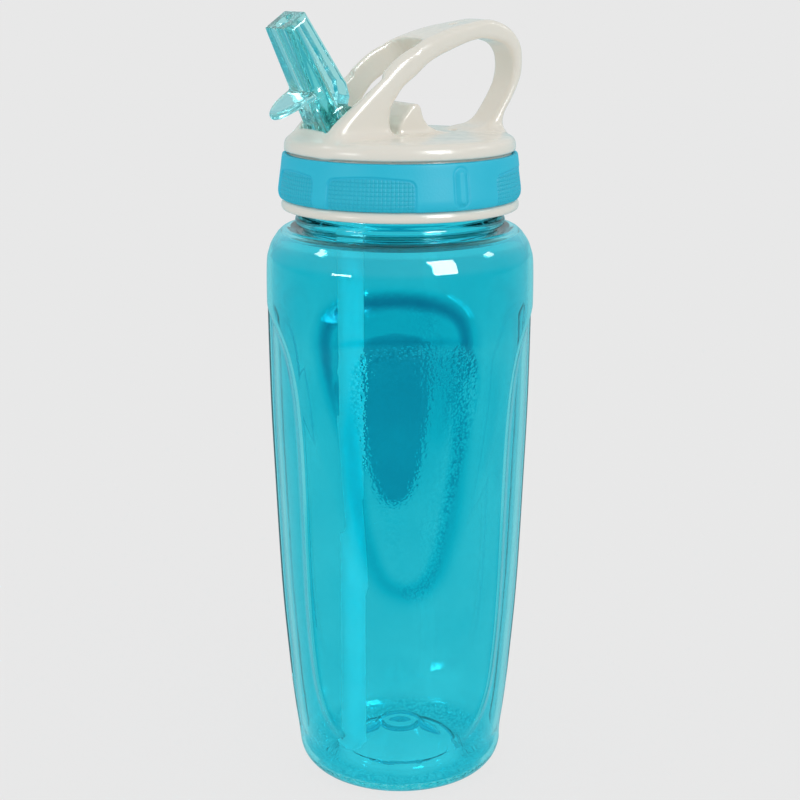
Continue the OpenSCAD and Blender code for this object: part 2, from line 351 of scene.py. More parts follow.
def recess_depth(z, side, edge, floor):
    """How deep the wall is pushed in, in mm."""
    base_fade = 0.75 + 0.25 * ramp(z, 20, 44)
    flank = SIDE_DEPTH * ramp(side, -0.4, 5.6) * base_fade * ramp(z, 7, 13)
    across = edge / (edge + np.maximum(-floor, 0) + 0.01)
    slope = 0.5 * ramp(edge, 0, 8.5) + 0.5 * ramp(across, 0.1, 1)
    return np.maximum(flank, THUMB_DEPTH * slope * (0.35 + 0.65 * ramp(z, 66, 120)))


def painted_shade_mask(z, side, edge, floor, far):
    """How much shade is painted into the plastic's colour, from 0 to 1; the far drop gets more painted shade than
    the near one.
    """
    # crease, brow, foot, seam and tongue are painted shade along the recesses' edges, over the far drop's floor
    # and down the side seam
    crease = bell(edge - 6, 2.5 + 1.1 * ramp(z, 140, 150)) * ramp(z, 70, 148)
    brow = bell(edge - 2, 1.6) * ramp(z, 149, 155)
    foot = bell(floor + 3.5, 3.2) * (1 - ramp(z, 120, 146))
    seam = bell(side, 0.8) * (1 - ramp(z, 80, 110)) * ramp(z, 21, 27)
    far_slope = 0.4 * ramp(edge, 0, 5) * ramp(z, 70, 120)
    near_slope = 0.07 * ramp(edge, 0, 5)
    tongue = 0.72 * ramp(floor, -1.5, 1.5)
    far_painted_shade = np.maximum(np.maximum(far_slope, 0.95 * crease), tongue)
    near_painted_shade = np.maximum(np.maximum(near_slope, 0.45 * foot), np.maximum(0.5 * brow, 0.55 * seam))
    # heel is painted shade at the base's edge, and the last factor paints the lower bottle lighter, as painted
    # light
    heel = 0.5 * (1 - ramp(z, 3, 9))
    deep_tone_and_painted_shade = 0.15 + 0.85 * (np.where(far, far_painted_shade, near_painted_shade) + heel)
    return deep_tone_and_painted_shade * (0.35 + 0.65 * ramp(z, 12, 28))


def bottle_dent(angle, z):
    """Depth of the recesses, and the masks for pebbles, speckles and painted shade."""
    side = inside_side(angle, z)
    edge = np.maximum(inside_drop(angle, z, DROP_EDGE), 0)
    floor = inside_drop(angle, z, DROP_FLOOR)
    far = (angle - PANEL_AZ + 90) % 360 < 180
    inside = inside_drop(angle - PEBBLE_TURN, z, DROP_PEBBLED)
    pebbled = ramp(inside, -1, 1) * (1 - 0.6 * ramp(floor, -1.5, 1.5)) * np.where(far, 0.35, 1)
    grain = pebbled * (0.35 + 0.65 * bell(inside - 3, 3)) * (0.4 + 0.6 * ramp(z, 75, 100))
    deep_tone_and_painted_shade = painted_shade_mask(z, side, edge, floor, far)
    return recess_depth(z, side, edge, floor), {"pebble": pebbled, "grain": grain, "deep_tone_and_painted_shade": deep_tone_and_painted_shade}


def thread_place(angle, z, start):
    """Turns along the nearest stretch of a screw thread, and the height above or below it."""
    turn = angle / 360
    total = np.round((z - start) / PITCH - turn) + turn
    return total, np.abs(z - start - total * PITCH)


def bottle_thread(angle, z):
    """Height of the bottle's own thread, from 0 to 1."""
    total, off = thread_place(angle, z, THREAD_Z)
    ends = ramp(total, 0, 0.08) * (1 - ramp(total, THREAD_TURNS - 0.08, THREAD_TURNS))
    return (1 - ramp(off, 0.35, 0.85)) * ends


def pebbles(angle, z):
    """Small smooth bumps with no set rows, from a few crossing waves."""
    waves, smallest, largest = 9, 1.5, 2.6
    s = angle * np.pi / 180 * BELLY_R
    rng = np.random.default_rng(7)
    total = 0
    for _ in range(waves):
        a = rng.uniform(0, np.pi)
        k = 2 * np.pi / rng.uniform(smallest, largest)
        total = total + np.sin(k * (s * np.cos(a) + z * np.sin(a)) + rng.uniform(0, 6.28))
    return total / 4


def inner_wall(outline):
    """Radius and height of the inside, from the mouth to the middle of the base."""
    tangent = np.gradient(outline, axis=0)
    tangent /= np.linalg.norm(tangent, axis=1)[:, None]
    normal = np.stack([-tangent[:, 1], tangent[:, 0]], -1)
    r, z = outline.T
    in_bead = (r < BEAD_R + 0.4) & (z > BEAD_LOW) & (z < BEAD_HIGH)
    inner = (outline + normal * WALL)[(z < RIM_Z - 2) & ~in_bead][::-1]
    in_neck = inner[:, 1] > BEAD_LOW - 1.5
    inner[:, 0] = np.where(in_neck, MOUTH_R, np.maximum(inner[:, 0], HAIR))
    apart = np.ones(len(inner), bool)
    apart[1:] = np.linalg.norm(np.diff(inner, axis=0), axis=1) > HAIR
    return inner[apart]


def make_bottle():
    """The bottle as one closed shell with an outer and an inner wall."""
    around = 720
    outline = bottle_outline()
    inner = inner_wall(outline)
    angle = np.arange(around)[None, :] * 360 / around
    a = np.radians(angle)
    rows = []
    masks = {"pebble": [], "grain": [], "deep_tone_and_painted_shade": []}
    for line, inside in ((outline, False), (inner, True)):
        r, z = line[:, :1], line[:, 1:]
        depth, marks = bottle_dent(angle, z)
        belly = (r > 31.5) & (z < BELLY_TOP)
        depth = np.where(belly, depth, 0) * (0.94 if inside else 1)
        if inside:
            marks["pebble"] = marks["grain"] = 0 * depth
        else:
            depth = depth + np.where(belly, PEBBLE_DEPTH * pebbles(angle, z) * marks["pebble"], 0)
            stippled = ramp(r, 20, 21.5) * (1 - ramp(z, 3.5, 6.5))
            marks["pebble"] = np.maximum(marks["pebble"], stippled)
            marks["grain"] = np.maximum(marks["grain"], stippled)
            neck = (z > BEAD_HIGH - 0.2) & (r > MOUTH_R + 1.5)
            depth = depth - np.where(neck, THREAD_H * bottle_thread(angle, z), 0)
        radius = r - depth
        height = np.broadcast_to(z, radius.shape)
        rows.append(np.stack([radius * np.cos(a), radius * np.sin(a), height], -1))
        coloured = (r > 20) & (z < BELLY_TOP)
        for name, values in masks.items():
            values.append(np.where(coloured, marks[name], 0) + 0 * radius)
    points = np.concatenate(rows)
    count, last = len(points) * around, (len(points) - 1) * around
    verts = np.concatenate([points.reshape(-1, 3), [[0, 0, outline[0, 1]], [0, 0, inner[-1, 1]]]])
    low_cap = [[count, (k + 1) % around, k] for k in range(around)]
    high_cap = [[count + 1, last + k, last + (k + 1) % around] for k in range(around)]
    faces = list(grid_faces(len(points), around, False))
    obj = mesh_object("bottle_clear", verts, faces + low_cap + high_cap)
    for name, values in masks.items():
        point_mask(obj, name, np.concatenate([np.concatenate(values).ravel(), [0, 0]]))
    return obj


# ---------------------------------------------------------------- the straw
def make_straw():
    """The straw as a tube, open at both ends."""
    around, wall, soft = 48, 1.25, 0.3
    bore = STRAW_R - wall
    low, high = STRAW_LOW[2], STRAW_HIGH[2]
    outline = [[STRAW_R - soft, low], [STRAW_R, low + soft]]
    outline += [[STRAW_R, z] for z in np.linspace(low + 2, high - 2, 40)]
    outline += [[STRAW_R, high - soft], [STRAW_R - soft, high], [bore + soft, high], [bore, high - soft]]
    outline += [[bore, z] for z in np.linspace(high - 2, low + 2, 40)]
    outline += [[bore, low + soft], [bore + soft, low]]
    line = np.array(outline)
    a = np.arange(around)[None, :] * 2 * np.pi / around
    r, z = line[:, :1], line[:, 1:]
    points = np.stack([STRAW_X + r * np.cos(a), r * np.sin(a), z + 0 * a], -1)
    return mesh_object("straw_tube", points.reshape(-1, 3), grid_faces(len(line), around, True))


# ---------------------------------------------------------------- the grip band
# Directions of the wide patches, the narrow ones and the raised bars, in degrees from +X
PATCHES = (47, 133, 227, 313)
PLATES = (0, 180)
BARS = (90, 270)
PATCH_HALF, PLATE_HALF = 14.2, 11.5
PATCH_DEPTH, STUD_H = 0.55, 0.24
BAR_Z, BAR_HALF, BAR_R = BAND_Z + 6.9, 3.6, 1.5
BAND_R = 37.5
BAND_BACK = 35.25
BAND_SKIN = [[36.4, BAND_Z], [37.3, BAND_Z + 0.25], [37.95, BAND_Z + 1.2], [38.15, BAND_Z + 2.8],
             [37.9, BAND_Z + 5], [37.25, BAND_Z + 9.6], [36.75, BAND_TOP - 1.1],
             [36.45, BAND_TOP - 0.55], [35.9, BAND_TOP - 0.4]]


def along_band(angle, centre):
    """Distance round the band from a direction, in mm."""
    return ((angle - centre + 180) % 360 - 180) * np.pi / 180 * BAND_R


def arch(half):
    """Outline of an arched patch that runs off the band's lower edge."""
    side = [[half, BAND_Z + 7.6], [half * 0.93, BAND_Z + 9.2], [half * 0.72, BAND_Z + 9.9]]
    left = [[-s, z] for s, z in side]
    top = curve(left + [[0, BAND_Z + 10.5]] + side[::-1], 6)
    return [[-half, BAND_Z - 3], *top, [half, BAND_Z - 3]]


def stud_grid(angle, z):
    """The patches' fine grid of square studs, from 0 to 1."""
    cell = 1.25
    s = angle * np.pi / 180 * BAND_R
    line_s = np.abs((s / cell) % 1 - 0.5) * 2
    line_z = np.abs((z / cell) % 1 - 0.5) * 2
    return (1 - ramp(line_s, 0.62, 0.9)) * (1 - ramp(line_z, 0.62, 0.9))


def make_band():
    """The grip, with its sunk patches of studs and its raised bars."""
    around = 1600
    skin = even(curve(BAND_SKIN, 10), 0.17)
    angle = np.arange(around)[None, :] * 360 / around
    a = np.radians(angle)
    r, z = skin[:, :1], skin[:, 1:]
    patch = np.full(np.broadcast_shapes(angle.shape, z.shape), -50.0)
    for centre in PATCHES + PLATES:
        half = PATCH_HALF if centre in PATCHES else PLATE_HALF
        patch = np.maximum(patch, -polygon_field(along_band(angle, centre), z, arch(half)))
    floor = ramp(patch, 0.7, 1.0)
    depth = PATCH_DEPTH * ramp(patch, -0.1, 0.45) - STUD_H * stud_grid(angle, z) * floor
    for centre in BARS:
        past_end = np.maximum(np.abs(z - BAR_Z) - BAR_HALF, 0)
        d = np.hypot(along_band(angle, centre), past_end) - BAR_R
        depth = depth - 0.75 * ramp(-d, -0.4, 0.9) + 0.25 * (1 - ramp(np.abs(d - 0.7), 0, 0.7))
    radius = r - depth
    rings = [np.stack([radius * np.cos(a), radius * np.sin(a), z + 0 * radius], -1)]
    for height in (BAND_TOP - 0.4, (BAND_TOP + BAND_Z) / 2, BAND_Z):
        rings.append(np.stack([BAND_BACK * np.cos(a), BAND_BACK * np.sin(a), height + 0 * a], -1))
    points = np.concatenate(rings)
    obj = mesh_object("grip_ring", points.reshape(-1, 3), grid_faces(len(points), around, True))
    mask = np.zeros(len(points) * around)
    mask[:floor.size] = floor.ravel()
    point_mask(obj, "patch", mask)
    return obj


# ---------------------------------------------------------------- the lid
SPOUT_LEAN = math.radians(27.9)
SLOT_HALF = 9.6
SWEEP_R = 36.8
HUB_R = 6.0
PIN_R = 2
PIN_HALF = 11.6
BORE_R = 2.5
SEAT_R = 4.3
STEM_BORE_R = 4.3
VENT_R = 1.1
# Outlines in X and Z: the carry loop's outside and inside, and the block that stands inside it
LOOP_OUTER = [[-31, 207], [-30.2, 215.6], [-27.5, 218], [-21.4, 222.5], [-13, 229.4], [-6.4, 235],
              [0, 238.5], [7, 241.2], [14, 243.2], [21.6, 244.6], [29, 245.4], [35.9, 243.1],
              [40.4, 238], [41.3, 231.5], [40.3, 226.3], [37.3, 220.3], [34.6, 215.6], [33.6, 207.5]]
LOOP_INNER = [[20, 207.5], [24, 211.2], [27.5, 212.5], [31, 216], [34.4, 221], [37, 226],
              [37.8, 231], [36.8, 235.5], [33, 238.5], [24.2, 239.5], [12.2, 236.1], [5.2, 233.1],
              [0.1, 229.2], [-4.3, 226.1], [-7.2, 222.6], [-8.6, 220.6], [-9.4, 217.4], [-9.1, 207.5]]
REST_BLOCK = [[-5.4, 208], [-5.0, 214.0], [-3.6, 216.8], [-0.6, 220.2], [0.4, 220.7], [2.0, 220.7],
              [2.9, 219.6], [3.8, 216.4], [5.5, 214.1], [8.7, 212.4], [12.9, 211.1], [15, 208]]
REST_HALF = 8.6
# Half the loop's width at each X, and how far its edges are rounded
LOOP_HALF = [[-45, 14.6], [-30, 14.4], [-20, 13.5], [-5, 12.4], [5, 11.5], [12, 10.2], [22, 8],
             [31, 6.6], [45, 6.4]]
LOOP_EDGE = [[-30, 3.2], [-5, 3], [12, 2.4], [30, 1.7]]
# Radius and height of the skirt, the groove over the grip and the dome
CUP = [[33.3, FLANGE_Z], [36.7, FLANGE_Z], [37.25, FLANGE_Z + 0.7], [37.2, FLANGE_Z + 2],
       [36.5, BAND_Z], [35.2, BAND_Z], [35.2, 205.1], [34.2, 205.4], [34.2, 206.25], [35.9, 206.25],
       [36.05, 206.6], [36, 208.6], [35.6, 209.7], [34.9, 210.4], [33.4, 210.9], [28, 211.3],
       [0, 211.6], [0, 208.6], [27, 208.6], [27, 205], [33.3, 205]]


def carry_loop(g):
    """The carry loop, with its front legs kept inside a cone that leans in."""
    side = g.side(np.concatenate([curve(LOOP_OUTER, 6), curve(LOOP_INNER, 6)]))
    half = np.interp(g.x, *np.array(LOOP_HALF).T)[:, None, None]
    edge = np.interp(g.x, *np.array(LOOP_EDGE).T)[:, None, None]
    loop = round_and(side + 0 * g.Y, np.abs(g.Y) - half + 0 * g.Z, edge)
    cone = (g.R - (36 - 0.86 * (g.Z - 209))) * 0.76
    return round_and(loop, np.where((g.Z > 205) & (g.X < 0), cone, -9), 1.6)


def under_lid(g):
    """The boss that holds the seal's seat, and the stem that holds the straw's nipple."""
    boss = np.maximum(np.abs(g.X + 21.5) - 10.5, np.abs(g.Y) - 12)
    boss = np.maximum(np.maximum(boss, np.abs(g.Z - 208) - 3.2), g.R - 33.5)
    stem = np.maximum(np.hypot(g.X - STRAW_X, g.Y) - 7.6, np.abs(g.Z - 203) - 6)
    return np.minimum(boss, stem)


def spout_slot(g, from_pivot):
    """The slot that the spout folds back into."""
    plan = g.plan([[-60, -SLOT_HALF], [-13, 0.2 - SLOT_HALF], [14, 1 - SLOT_HALF],
                   [14, SLOT_HALF - 1], [-13, SLOT_HALF - 0.2], [-60, SLOT_HALF]])
    gap = g.side([[-18, 213.2], [-9, 213.2], [-9, 211.6], [30, 211.6], [30, 262], [-62, 262],
                  [-62, 250], [-30.7, 216.4], [-29.4, 212.5], [-24, 211]])
    return smax(smax(plan, gap, 1.0), from_pivot - SWEEP_R, 5.0)


def slot_ledge(g):
    """A step cut down along the slot's rims, beside the raised spout."""
    line = curve([[-30, 214.8], [-21.4, 221.3], [-11.6, 228.7]], 6)
    side = g.side(np.concatenate([line, [[-12, 245], [-34, 245]]]))
    return smax(side, np.abs(g.Y) - 11.3, 0.5)


def pivot_room(g, from_pivot):
    """The hub's trough and the pins' sockets, with a little play."""
    trough = np.maximum(from_pivot - HUB_R - 0.4, np.abs(g.Y) - SLOT_HALF)
    socket = np.maximum(from_pivot - (PIN_R + 0.15), np.abs(g.Y) - (PIN_HALF + 0.3))
    return np.minimum(trough, socket)


def drink_passage(g):
    """The seal's seat and the passage in line with the raised spout, and the nipple's bore."""
    x, z = g.X - PIVOT[0], g.Z - PIVOT[2]
    c, s = math.cos(SPOUT_LEAN), math.sin(SPOUT_LEAN)
    along = z * c - x * s
    off = np.hypot(x * c + z * s, g.Y)
    seat = np.maximum(off - SEAT_R, np.abs(along + 6) - 4.6)
    passage = np.maximum(off - BORE_R, np.abs(along + 9) - 5)
    bore = np.maximum(np.hypot(g.X - STRAW_X, g.Y) - STEM_BORE_R, np.abs(g.Z - 198.5) - 4.1)
    return np.minimum(np.minimum(seat, passage), bore)


def skirt_thread(g):
    """The thread inside the skirt, half a pitch below the bottle's own."""
    angle = np.degrees(np.arctan2(g.Y, g.X)) % 360
    total, off = thread_place(angle, g.Z, THREAD_Z - PITCH / 2)
    rib = np.maximum(np.maximum(off - 0.8, 31.3 - g.R), g.R - 34)
    return np.where((total > 0.5) & (total < THREAD_TURNS), rib, 9)


def make_lid():
    """The lid with its loop, slot and skirt, moulded in one."""
    step = 0.5
    g = Field((-39.5, -39.5, 186), (43.5, 39.5, 248), step)
    from_pivot = np.hypot(g.X - PIVOT[0], g.Z - PIVOT[2])
    lid = smin(g.turned(CUP), carry_loop(g), 4.2)
    lid = np.minimum(lid, under_lid(g))
    # the slot and its ledge are cut after the blend, so that their walls stay flat
    lid = smax(lid, -spout_slot(g, from_pivot), 0.9)
    lid = smax(lid, -slot_ledge(g), 0.5)
    block = round_and(g.side(REST_BLOCK) + 0 * g.Y, np.abs(g.Y) - REST_HALF + 0 * g.Z, 0.9)
    lid = smin(lid, block, 1.6)
    lid = np.maximum(lid, -pivot_room(g, from_pivot))
    lid = np.maximum(lid, -drink_passage(g))
    lid = np.maximum(lid, VENT_R - np.hypot(g.X - 19, g.Y))
    lid = np.minimum(g.softened(lid, 1), skirt_thread(g))
    verts, quads = g.surface_net(lid)
    return mesh_object("lid_moulding", verts, quads)


# ---------------------------------------------------------------- the spout
TAB_Z = 13
TAB_REACH, TAB_HALF = 13.4, 8.8
SPOUT_SIDE = [[-5.9, -0.5], [-5.75, 4.2], [-3.5, 34.3], [4.7, 35.5], [6.6, 11], [5.65, 7],
              [3.4, 4.6], [0, 0]]


def make_spout():
    """Worked out upright with the pivot at the origin, then leaned forward."""
    step = 0.3
    g = Field((-19.5, -13, -8), (8.5, 13, 38.5), step)
    from_pivot = np.hypot(g.X, g.Z)
    half = np.interp(g.z, [0, 6, 35], [9, 8.9, 8.2])[None, None, :]
    tube = round_and(g.side(SPOUT_SIDE) + 0 * g.Y, np.abs(g.Y) - half + 0 * g.X, 2.0)
    hub = round_and(from_pivot - HUB_R + 0 * g.Y, np.abs(g.Y) - 9 + 0 * g.Z + 0 * g.X, 0.4)
    pins = np.maximum(from_pivot - PIN_R, np.abs(g.Y) - PIN_HALF)
    out = -g.X
    rim = (np.hypot((out - 3.5) / TAB_REACH, g.Y / TAB_HALF) - 1) * TAB_HALF
    droop = np.abs(g.Z - TAB_Z + 0.006 * (out - 3) ** 2)
    tab = np.where(out > 2, round_and(rim + 0 * g.Z, droop - 1.1, 0.9), 5)
    body = smin(smin(tube, tab, 1.2), hub, 0.5)
    body = np.minimum(body, pins)
    bore = g.R - BORE_R + 0 * g.Z
    flare = g.R - BORE_R - 0.8 * ramp(g.Z, 33.5, 35.5)
    body = smax(body, -np.minimum(bore, flare), 0.3)
    verts, quads = g.surface_net(body)
    c, s = math.cos(SPOUT_LEAN), math.sin(SPOUT_LEAN)
    x, y, z = verts.T
    world = np.stack([PIVOT[0] + x * c - z * s, PIVOT[1] + y, PIVOT[2] + x * s + z * c], -1)
    return mesh_object("spout_clear", world, quads)


# ---------------------------------------------------------------- materials
def material(name, **sockets):
    """A Principled material with the given sockets set, and its node tree's pieces."""
    mat = bpy.data.materials.new(name)
    mat.use_nodes = True
    nodes, links = mat.node_tree.nodes, mat.node_tree.links
    shader = nodes["Principled BSDF"]
    for key, value in sockets.items():
        shader.inputs[key.replace("_", " ")].default_value = value
    return mat, nodes, links, shader


def add(nodes, kind, **values):
    """A new node, with each value set as its property or else on the input of that name."""
    node = nodes.new(kind)
    for key, value in values.items():
        if hasattr(node, key):
            setattr(node, key, value)
        else:
            node.inputs[key.replace("_", " ")].default_value = value
    return node


def object_noise(nodes, links, scale, detail=2.0, rough=0.5):
    """Noise from 0 to 1 over the object's own coordinates, scale being in waves to the metre."""
    place = add(nodes, "ShaderNodeTexCoord")
    noise = add(nodes, "ShaderNodeTexNoise", Scale=scale, Detail=detail, Roughness=rough)
    links.new(place.outputs["Object"], noise.inputs["Vector"])
    return noise.outputs["Fac"]


def bump(nodes, links, shader, height, strength, distance):
    """Fine relief, with distance in metres."""
    node = add(nodes, "ShaderNodeBump", Strength=strength, Distance=distance)
    links.new(height, node.inputs["Height"])
    links.new(node.outputs["Normal"], shader.inputs["Normal"])


def vary(nodes, links, factor, low, high, from_low=0.35, from_high=0.65):
    """A number that runs from low to high as factor does."""
    node = add(nodes, "ShaderNodeMapRange")
    node.inputs["From Min"].default_value = from_low
    node.inputs["From Max"].default_value = from_high
    node.inputs["To Min"].default_value = low
    node.inputs["To Max"].default_value = high
    links.new(factor, node.inputs["Value"])
    return node.outputs["Result"]


def colour_between(nodes, links, factor, a, b):
    """A colour that runs from a to b as factor runs from 0 to 1."""
    node = add(nodes, "ShaderNodeMix", data_type="RGBA")
    node.inputs["A"].default_value = (*a, 1)
    node.inputs["B"].default_value = (*b, 1)
    links.new(factor, node.inputs["Factor"])
    return node.outputs["Result"]


def mesh_value(nodes, name):
    """A value that point_mask() put on the mesh."""
    return add(nodes, "ShaderNodeAttribute", attribute_name=name).outputs["Fac"]


def times(nodes, links, a, b):
    """The product of two sockets."""
    node = add(nodes, "ShaderNodeMath", operation="MULTIPLY")
    links.new(a, node.inputs[0])
    links.new(b, node.inputs[1])
    return node.outputs[0]


def plus(nodes, links, a, b):
    """The sum of two sockets."""
    node = add(nodes, "ShaderNodeMath", operation="ADD")
    links.new(a, node.inputs[0])
    links.new(b, node.inputs[1])
    return node.outputs[0]


# The bottle's colour at the neck, where it is thin, then darker steps of painted shade over the drops and at its
# deepest
BOTTLE_TINT_AND_SHADE = ((0, (0.22, 0.88, 0.97)), (0.15, (0.16, 0.775, 0.86)), (0.43, (0.02, 0.67, 0.78)),
                (1, (0.004, 0.25, 0.40)))


def tinted_plastic(name, thin, deep_tone_and_painted_shade, roughness):
    """Clear coloured plastic with a faint flow pattern."""
    mat, nodes, links, shader = material(name, Roughness=roughness, IOR=1.5, Transmission_Weight=1.0)
    flow = object_noise(nodes, links, scale=55, detail=3)
    links.new(colour_between(nodes, links, flow, thin, deep_tone_and_painted_shade), shader.inputs["Base Color"])
    ripple = object_noise(nodes, links, scale=130, detail=2)
    bump(nodes, links, shader, ripple, strength=0.06, distance=0.0006)
    return mat


def bottle_plastic():
    """Clear teal plastic, darkened by painted shade and pebbled where the mesh says so."""
    mat, nodes, links, shader = material("bottle_teal_clear", IOR=1.5, Transmission_Weight=1.0)
    place = add(nodes, "ShaderNodeTexCoord")
    cells = add(nodes, "ShaderNodeTexVoronoi", Scale=1300.0, feature="SMOOTH_F1")
    links.new(place.outputs["Object"], cells.inputs["Vector"])
    pebble = mesh_value(nodes, "pebble")
    grain = times(nodes, links, cells.outputs["Distance"], pebble)
    flow = vary(nodes, links, object_noise(nodes, links, scale=55, detail=3), -0.02, 0.04)
    # the mesh's mask paints shade into the colour, with a little random flow and the speckles on top
    deep_tone_and_painted_shade = plus(nodes, links, mesh_value(nodes, "deep_tone_and_painted_shade"), flow)
    spots = vary(nodes, links, cells.outputs["Distance"], -0.45, 0.45, 0.1, 0.6)
    speckle_and_painted_shade = plus(nodes, links, times(nodes, links, mesh_value(nodes, "grain"), spots), deep_tone_and_painted_shade)
    stops = add(nodes, "ShaderNodeValToRGB")
    links.new(speckle_and_painted_shade, stops.inputs["Fac"])
    ends = stops.color_ramp.elements
    ends[0].color = (*BOTTLE_TINT_AND_SHADE[0][1], 1)
    ends[1].color = (*BOTTLE_TINT_AND_SHADE[-1][1], 1)
    for spot, colour in BOTTLE_TINT_AND_SHADE[1:-1]:
        ends.new(spot).color = (*colour, 1)
    links.new(stops.outputs["Color"], shader.inputs["Base Color"])
    links.new(vary(nodes, links, pebble, 0.02, 0.06, 0, 1), shader.inputs["Roughness"])
    ripple_share = 0.1
    height = add(nodes, "ShaderNodeMath", operation="MULTIPLY_ADD")
    links.new(object_noise(nodes, links, scale=130, detail=2), height.inputs[0])
    height.inputs[1].default_value = ripple_share
    links.new(grain, height.inputs[2])
    bump(nodes, links, shader, height.outputs[0], strength=0.6, distance=0.0002)
    return mat


def lid_plastic():
    """Glossy off-white plastic, a little uneven in tone and shine."""
    mat, nodes, links, shader = material("lid_white_gloss", IOR=1.49)
    tone = object_noise(nodes, links, scale=28, detail=3)
    low, high = (0.85, 0.80, 0.71), (0.89, 0.84, 0.76)
    links.new(colour_between(nodes, links, tone, low, high), shader.inputs["Base Color"])
    wear = object_noise(nodes, links, scale=210, detail=4, rough=0.6)
    links.new(vary(nodes, links, wear, 0.17, 0.27), shader.inputs["Roughness"])
    ripple = object_noise(nodes, links, scale=90, detail=2)
    bump(nodes, links, shader, ripple, strength=0.05, distance=0.0008)
    shader.inputs["Subsurface Weight"].default_value = 0.08
    shader.inputs["Subsurface Radius"].default_value = (0.004, 0.0035, 0.003)
    return mat


def band_rubber():
    """Matt teal rubber, slightly darker on the patches."""
    mat, nodes, links, shader = material("grip_teal_matte", IOR=1.45)
    tone = object_noise(nodes, links, scale=60, detail=4, rough=0.6)
    low, high = (0.018, 0.53, 0.73), (0.026, 0.58, 0.79)
    mix = add(nodes, "ShaderNodeMix", data_type="RGBA")
    links.new(mesh_value(nodes, "patch"), mix.inputs["Factor"])
    links.new(colour_between(nodes, links, tone, low, high), mix.inputs["A"])
    mix.inputs["B"].default_value = (0.020, 0.52, 0.70, 1)
    links.new(mix.outputs["Result"], shader.inputs["Base Color"])
    links.new(vary(nodes, links, tone, 0.42, 0.55), shader.inputs["Roughness"])
    shader.inputs["Specular IOR Level"].default_value = 0.3
    grain = object_noise(nodes, links, scale=1400, detail=2)
    bump(nodes, links, shader, grain, strength=0.12, distance=0.0003)
    return mat


def straw_plastic():
    """Hazy teal plastic with a faint glow painted in as light, since little light gets in to it."""
    mat, nodes, links, shader = material("straw_teal_haze", Roughness=0.35, IOR=1.5,
                                         Transmission_Weight=0.55)
    flow = object_noise(nodes, links, scale=40, detail=3)
    low, high = (0.62, 0.96, 1.0), (0.70, 0.98, 1.0)
    links.new(colour_between(nodes, links, flow, low, high), shader.inputs["Base Color"])
    # the emission is painted light: a faint glow in place of the light the bottle's walls keep off the straw
    shader.inputs["Emission Color"].default_value = (0.35, 0.95, 1.0, 1)
    shader.inputs["Emission Strength"].default_value = 0.115
    ripple = object_noise(nodes, links, scale=300, detail=2)
    bump(nodes, links, shader, ripple, strength=0.05, distance=0.0005)
    return mat


def silicone(name, low, high):
    """Milky moulded rubber or plastic."""
    mat, nodes, links, shader = material(name, IOR=1.42)
    tone = object_noise(nodes, links, scale=90, detail=3)
    links.new(colour_between(nodes, links, tone, low, high), shader.inputs["Base Color"])
    links.new(vary(nodes, links, tone, 0.4, 0.55), shader.inputs["Roughness"])
    grain = object_noise(nodes, links, scale=900, detail=2)
    bump(nodes, links, shader, grain, strength=0.1, distance=0.0002)
    return mat


def paint(obj, mat):
    """Gives a piece one material."""
    obj.data.materials.clear()
    obj.data.materials.append(mat)


# ---------------------------------------------------------------- the pieces
SPOUT_PLASTIC = tinted_plastic("spout_teal_clear", (0.42, 0.85, 0.86), (0.38, 0.82, 0.83), 0.08)
# What makes each piece, the body it rides on, the node it replaces, its slot and its material
PIECES = [
    (make_bottle, "bottle", "bottle_body", "tinted_body", bottle_plastic()),
    (make_straw, "lid", "straw", "tinted_straw", straw_plastic()),
    (make_band, "lid", "grip_band", "grip_teal", band_rubber()),
    (make_lid, "lid", "lid_shell", "lid_white", lid_plastic()),
    (make_spout, "flip_spout", "spout", "tinted_spout", SPOUT_PLASTIC),
]
for make, body, node, slot, mat in PIECES:
    piece = make()
    paint(piece, mat)
    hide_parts(node)
    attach(piece, body)

# The pieces inside the lid keep their CAD shape
soft = silicone("silicone_milky", (0.78, 0.78, 0.76), (0.84, 0.84, 0.82))
hard = silicone("nipple_moulded", (0.74, 0.74, 0.71), (0.80, 0.80, 0.77))
for node in ("lid_gasket", "spout_seal", "vent_valve"):
    paint(frame["nodes"][node], soft)
paint(frame["nodes"]["straw_nipple"], hard)

# ---------------------------------------------------------------- floor, light and camera
# The view's direction round the bottle and below level; places and sizes are in metres from here on
VIEW_TURN = math.radians(29)
VIEW_PITCH = math.radians(14.75)
CAMERA_OUT, CAMERA_UP = 0.5088, 0.2594
LENS, SENSOR = 73, 36
PALE = (0.807, 0.807, 0.807)
DIM = (0.04, 0.46, 0.56)
LIT = (0, 0, 0.15)
# Each light's place, width, height and power
KEY = ((0.09, -0.75, 0.95), 0.6, 0.6, 0.9)
GLINTS = {
    "window": ((0.18, -0.95, 0.68), 0.40, 0.56, 13.0),
    "strip": ((-1.07, -0.21, 0.31), 0.34, 0.10, 1.8),
    "side": ((0.75, -0.35, 0.68), 0.14, 0.14, 0.6),
    "left": ((-0.69, 0.34, 0.79), 0.14, 0.14, 0.6),
}


def add_facing(obj, direction):
    """Adds a light or a camera to the scene, facing along a direction."""
    obj.rotation_mode = "QUATERNION"
    obj.rotation_quaternion = Vector(direction).to_track_quat("-Z", "Y")
    bpy.context.scene.collection.objects.link(obj)


